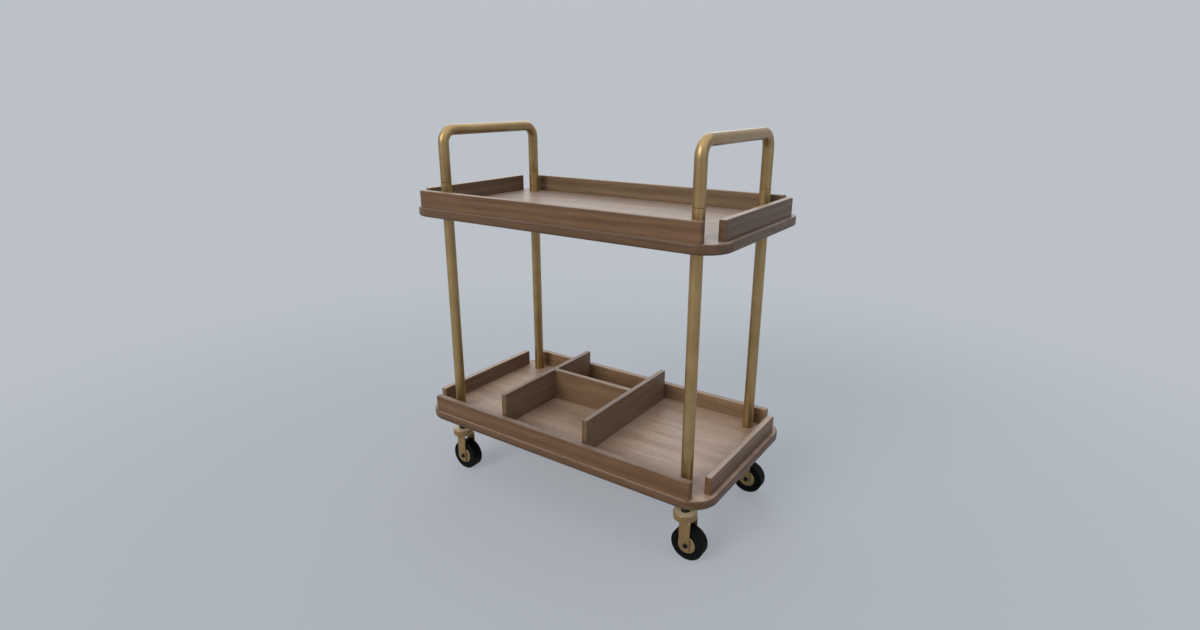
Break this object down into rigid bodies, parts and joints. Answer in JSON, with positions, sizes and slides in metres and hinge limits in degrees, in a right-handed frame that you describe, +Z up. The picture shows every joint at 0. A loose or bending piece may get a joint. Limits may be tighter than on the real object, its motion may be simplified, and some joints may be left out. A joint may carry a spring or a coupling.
{
  "type": "bar cart",
  "caption": "Rolling bar cart: wooden trays with low rails and bottle dividers on a brass tube frame with end handles, running on swivel casters.",
  "frame": {"origin": "on the floor under the middle of the cart", "axes": "+Z up, +X along the trays towards the right handle, +Y from the front to the rear"},
  "size_m": [0.803, 0.436, 0.8805],
  "materials": {
    "walnut_along_x": "satin lacquer, grain along X",
    "walnut_along_y": "satin lacquer, grain along Y",
    "brass_tube": "satin antique",
    "brass_fitting": "satin",
    "black_steel": "black oxide",
    "zinc_steel": "zinc plated",
    "nylon": "moulded",
    "black_rubber": "matt"
  },
  "bodies": {
    "cart": {"upper_board": "walnut_along_x", "lower_board": "walnut_along_x", "upper_front_rail": "walnut_along_x", "upper_rear_rail": "walnut_along_x", "upper_left_rail": "walnut_along_y", "upper_right_rail": "walnut_along_y", "lower_front_rail": "walnut_along_x", "lower_rear_rail": "walnut_along_x", "lower_left_rail": "walnut_along_y", "lower_right_rail": "walnut_along_y", "left_divider": "walnut_along_y", "right_divider": "walnut_along_y", "cross_divider": "walnut_along_x", "post_front_left": "brass_tube", "post_front_right": "brass_tube", "post_rear_left": "brass_tube", "post_rear_right": "brass_tube", "ferrule_front_left": "brass_tube", "ferrule_front_right": "brass_tube", "ferrule_rear_left": "brass_tube", "ferrule_rear_right": "brass_tube", "handle_left": "brass_tube", "handle_right": "brass_tube", "upper_rail_screws": "zinc_steel", "lower_rail_screws": "zinc_steel", "divider_screws": "zinc_steel", "threaded_inserts": "zinc_steel", "tie_studs": "zinc_steel", "handle_spigots": "zinc_steel", "stem_washers": "black_steel", "caster_front_left_stem": "black_steel", "caster_front_right_stem": "black_steel", "caster_rear_left_stem": "black_steel", "caster_rear_right_stem": "black_steel", "handle_screws": "brass_fitting"},
    "caster_front_left_swivel": {"caster_front_left_fork": "brass_fitting", "caster_front_left_swivel_bush": "nylon", "caster_front_left_axle": "black_steel"},
    "caster_front_left_wheel": {"caster_front_left_hub": "brass_fitting", "caster_front_left_tyre": "black_rubber", "caster_front_left_wheel_bush": "nylon"},
    "caster_front_right_swivel": {"caster_front_right_fork": "brass_fitting", "caster_front_right_swivel_bush": "nylon", "caster_front_right_axle": "black_steel"},
    "caster_front_right_wheel": {"caster_front_right_hub": "brass_fitting", "caster_front_right_tyre": "black_rubber", "caster_front_right_wheel_bush": "nylon"},
    "caster_rear_left_swivel": {"caster_rear_left_fork": "brass_fitting", "caster_rear_left_swivel_bush": "nylon", "caster_rear_left_axle": "black_steel"},
    "caster_rear_left_wheel": {"caster_rear_left_hub": "brass_fitting", "caster_rear_left_tyre": "black_rubber", "caster_rear_left_wheel_bush": "nylon"},
    "caster_rear_right_swivel": {"caster_rear_right_fork": "brass_fitting", "caster_rear_right_swivel_bush": "nylon", "caster_rear_right_axle": "black_steel"},
    "caster_rear_right_wheel": {"caster_rear_right_hub": "brass_fitting", "caster_rear_right_tyre": "black_rubber", "caster_rear_right_wheel_bush": "nylon"}
  },
  "joints": [
    {"name": "caster_front_left_swivel_turn", "type": "hinge", "parent": "cart", "child": "caster_front_left_swivel", "pos_m": [-0.33, -0.159, 0.1015], "axis": [0, 0, 1], "continuous": true},
    {"name": "caster_front_left_wheel_spin", "type": "hinge", "parent": "caster_front_left_swivel", "child": "caster_front_left_wheel", "pos_m": [-0.317, -0.159, 0.0375], "axis": [0, 1, 0], "continuous": true},
    {"name": "caster_front_right_swivel_turn", "type": "hinge", "parent": "cart", "child": "caster_front_right_swivel", "pos_m": [0.33, -0.159, 0.1015], "axis": [0, 0, 1], "continuous": true},
    {"name": "caster_front_right_wheel_spin", "type": "hinge", "parent": "caster_front_right_swivel", "child": "caster_front_right_wheel", "pos_m": [0.343, -0.159, 0.0375], "axis": [0, 1, 0], "continuous": true},
    {"name": "caster_rear_left_swivel_turn", "type": "hinge", "parent": "cart", "child": "caster_rear_left_swivel", "pos_m": [-0.33, 0.159, 0.1015], "axis": [0, 0, 1], "continuous": true},
    {"name": "caster_rear_left_wheel_spin", "type": "hinge", "parent": "caster_rear_left_swivel", "child": "caster_rear_left_wheel", "pos_m": [-0.317, 0.159, 0.0375], "axis": [0, 1, 0], "continuous": true},
    {"name": "caster_rear_right_swivel_turn", "type": "hinge", "parent": "cart", "child": "caster_rear_right_swivel", "pos_m": [0.33, 0.159, 0.1015], "axis": [0, 0, 1], "continuous": true},
    {"name": "caster_rear_right_wheel_spin", "type": "hinge", "parent": "caster_rear_right_swivel", "child": "caster_rear_right_wheel", "pos_m": [0.343, 0.159, 0.0375], "axis": [0, 1, 0], "continuous": true}
  ]
}
